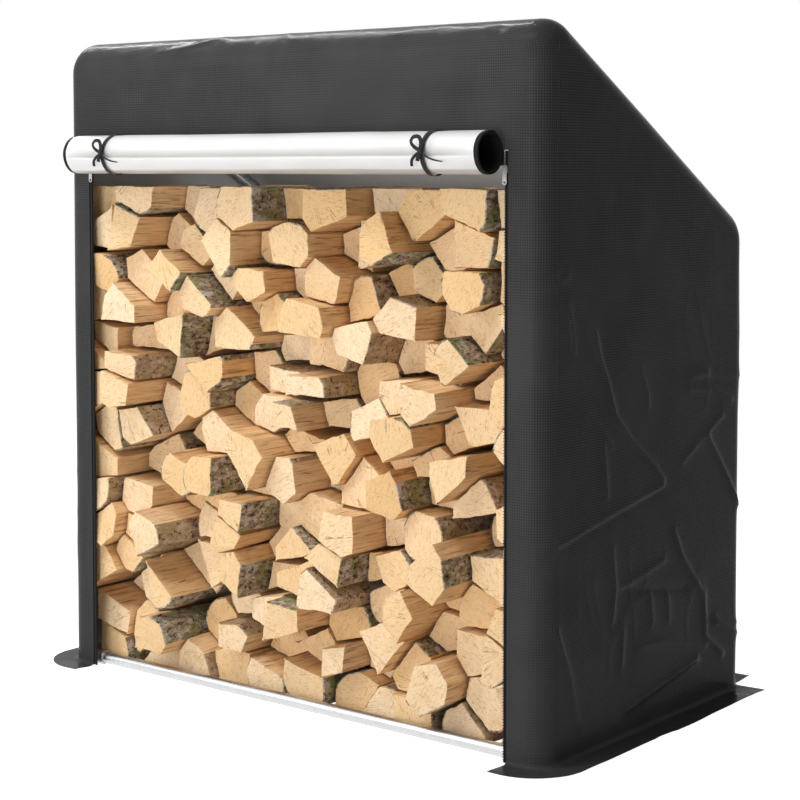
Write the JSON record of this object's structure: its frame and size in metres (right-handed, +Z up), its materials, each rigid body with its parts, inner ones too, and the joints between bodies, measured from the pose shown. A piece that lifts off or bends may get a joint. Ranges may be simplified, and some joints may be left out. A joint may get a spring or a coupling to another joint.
{
  "type": "log store",
  "caption": "Lean-to log store: steel tube frame under a black woven cover, front door rolled up and tied, ground flaps, filled with stacked split firewood.",
  "frame": {"origin": "on the ground, in the middle of the object's outline in plan", "axes": "+X to the right of someone facing the doorway, +Y from the doorway to the back, +Z up"},
  "size_m": [1.656, 1.078, 1.629],
  "materials": {
    "galvanised_steel": "bright galvanised",
    "black_cover": "glossy woven polyethylene",
    "door_lining": "pale coated inner face",
    "tie_tape": "woven ribbon",
    "zip_tape": "woven tape with a moulded coil",
    "zip_metal": "plated zinc",
    "split_wood": "rough split wood with bark"
  },
  "bodies": {
    "root": {"foot_connectors": "galvanised_steel", "ridge_elbows": "galvanised_steel", "eave_elbows": "galvanised_steel", "front_left_post": "galvanised_steel", "rear_left_post": "galvanised_steel", "left_ground_rail": "galvanised_steel", "left_rafter": "galvanised_steel", "front_right_post": "galvanised_steel", "rear_right_post": "galvanised_steel", "right_ground_rail": "galvanised_steel", "right_rafter": "galvanised_steel", "front_ground_rail": "galvanised_steel", "front_top_beam": "galvanised_steel", "rear_ground_rail": "galvanised_steel", "rear_top_beam": "galvanised_steel", "roof_panel": "black_cover", "front_header": "black_cover", "back_panel": "black_cover", "left_side_panel": "black_cover", "right_side_panel": "black_cover", "left_front_strip": "black_cover", "right_front_strip": "black_cover", "left_ground_flap": "black_cover", "right_ground_flap": "black_cover", "back_ground_flap": "black_cover", "rolled_door": "door_lining", "door_ties": "tie_tape", "left_zip_tape": "zip_tape", "right_zip_tape": "zip_tape", "zip_sliders": "zip_metal", "firewood_row_01": "split_wood", "firewood_row_02": "split_wood", "firewood_row_03": "split_wood", "firewood_row_04": "split_wood", "firewood_row_05": "split_wood", "firewood_row_06": "split_wood", "firewood_row_07": "split_wood", "firewood_row_08": "split_wood", "firewood_row_09": "split_wood", "firewood_row_10": "split_wood", "firewood_row_11": "split_wood", "firewood_row_12": "split_wood", "firewood_row_13": "split_wood", "firewood_row_14": "split_wood", "firewood_row_15": "split_wood"}
  },
  "joints": []
}
